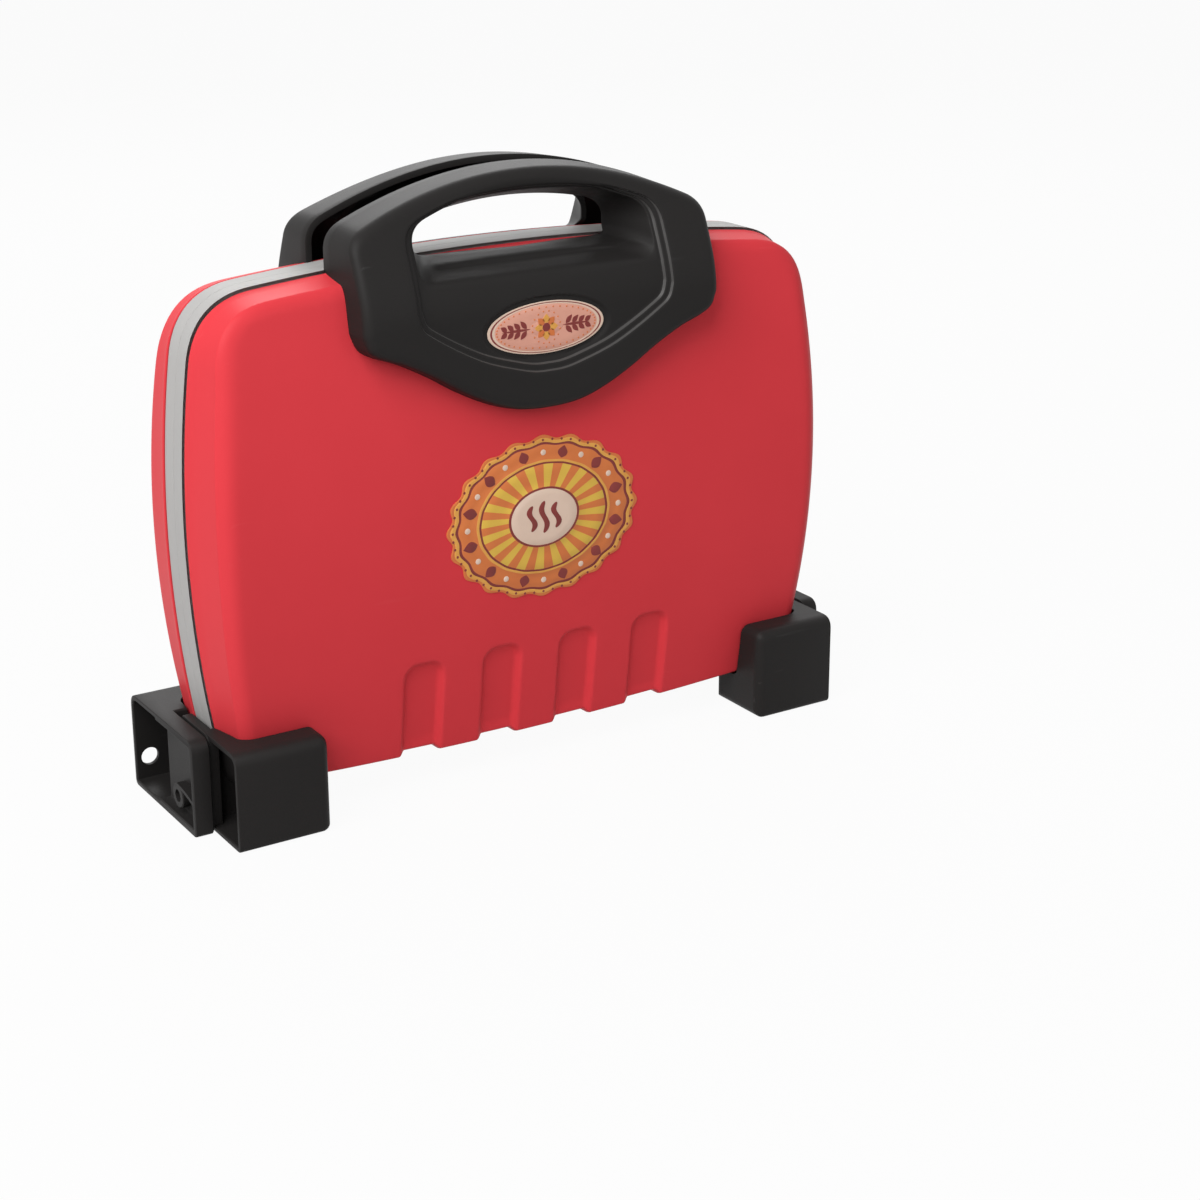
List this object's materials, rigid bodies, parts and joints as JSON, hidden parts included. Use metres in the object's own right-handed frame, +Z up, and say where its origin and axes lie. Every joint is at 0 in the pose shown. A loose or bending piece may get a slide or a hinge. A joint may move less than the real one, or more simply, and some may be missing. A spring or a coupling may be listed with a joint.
{
  "type": "toy toaster",
  "caption": "Red carry-case toy toaster in two hinged halves with a grey rim, black feet and twin black carrying handles.",
  "frame": {"origin": "Middle of the footprint of the four feet, on the surface they stand on.", "axes": "+X to the right along the hinge, +Y from the front half to the back half, +Z up from feet to handles."},
  "size_m": [0.276, 0.0772, 0.228],
  "materials": {
    "red_plastic": "satin moulded, fine texture",
    "grey_plastic": "satin moulded",
    "black_plastic": "fine spark-eroded texture",
    "steel": "zinc-plated",
    "printed_film": "printed film"
  },
  "bodies": {
    "back_half": {"back_shell": "red_plastic", "back_tray": "grey_plastic", "back_handle": "black_plastic", "back_foot_right": "black_plastic", "back_foot_left": "black_plastic", "back_tray_screw_1": "steel", "back_tray_screw_2": "steel", "back_tray_screw_3": "steel", "back_tray_screw_4": "steel", "back_handle_screw_1": "steel", "back_handle_screw_2": "steel", "back_foot_screw_1": "steel", "back_foot_screw_2": "steel", "hinge_pin_right": "black_plastic", "hinge_pin_left": "black_plastic"},
    "front_half": {"front_shell": "red_plastic", "front_tray": "grey_plastic", "front_handle": "black_plastic", "front_foot_left": "black_plastic", "front_foot_right": "black_plastic", "front_tray_screw_1": "steel", "front_tray_screw_2": "steel", "front_tray_screw_3": "steel", "front_tray_screw_4": "steel", "front_handle_screw_1": "steel", "front_handle_screw_2": "steel", "front_foot_screw_1": "steel", "front_foot_screw_2": "steel", "face_badge": "printed_film", "handle_label": "printed_film"}
  },
  "joints": [
    {"name": "case_hinge", "type": "hinge", "parent": "back_half", "child": "front_half", "pos_m": [0, 0, 0.0095], "axis": [1, 0, 0], "range_deg": [0, 100]}
  ]
}
